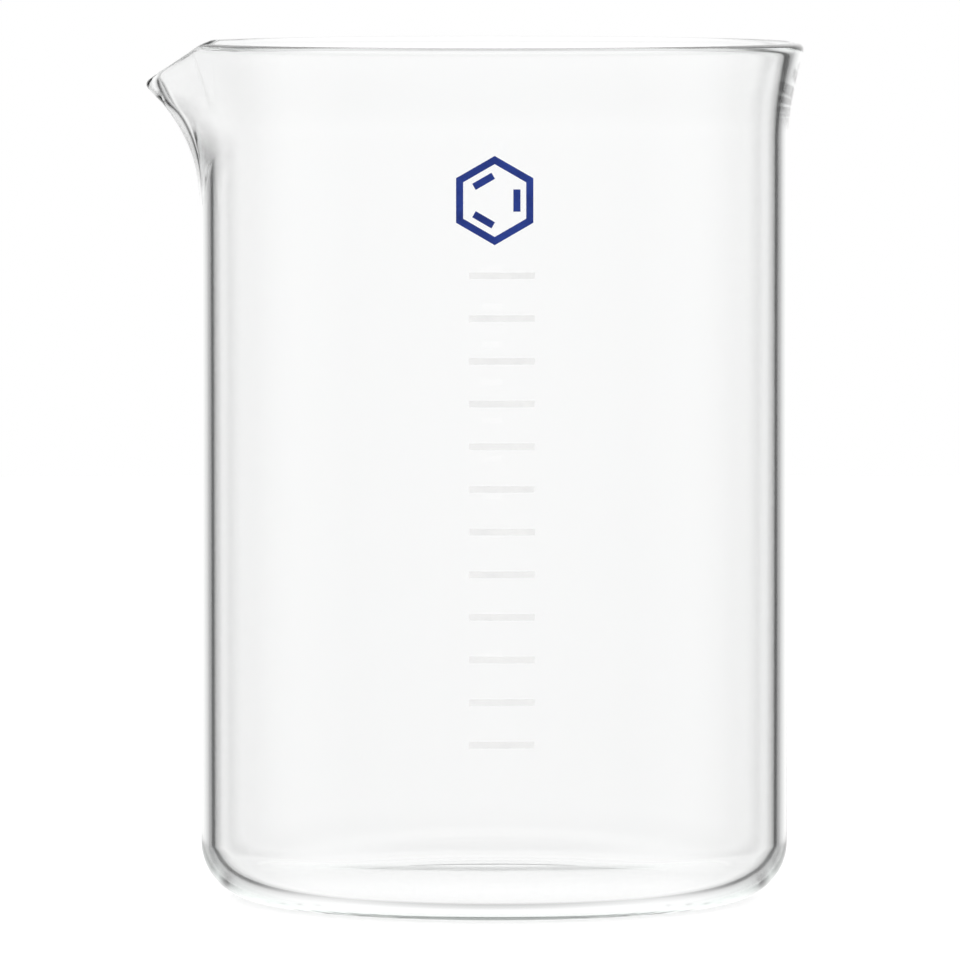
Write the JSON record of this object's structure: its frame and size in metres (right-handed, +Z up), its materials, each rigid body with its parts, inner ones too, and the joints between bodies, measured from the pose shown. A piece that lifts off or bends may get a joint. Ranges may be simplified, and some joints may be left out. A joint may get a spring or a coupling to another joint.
{
  "type": "laboratory beaker",
  "caption": "Low-form laboratory beaker of clear borosilicate glass with a flared rim, a pouring spout, white enamel graduation bars and a small blue enamel ring mark.",
  "frame": {"origin": "centre of the ring that the base stands on, on the body's axis", "axes": "+Z up along the body's axis, the spout points along -X, the enamel marks face -Y"},
  "size_m": [0.0893, 0.084, 0.1165],
  "materials": {
    "clear_glass": "polished",
    "white_enamel": "satin",
    "blue_enamel": "satin"
  },
  "bodies": {
    "root": {"glass_vessel": "clear_glass", "graduation_01": "white_enamel", "graduation_02": "white_enamel", "graduation_03": "white_enamel", "graduation_04": "white_enamel", "graduation_05": "white_enamel", "graduation_06": "white_enamel", "graduation_07": "white_enamel", "graduation_08": "white_enamel", "graduation_09": "white_enamel", "graduation_10": "white_enamel", "graduation_11": "white_enamel", "graduation_12": "white_enamel", "badge_ring": "blue_enamel", "badge_bond_1": "blue_enamel", "badge_bond_2": "blue_enamel", "badge_bond_3": "blue_enamel"}
  },
  "joints": []
}
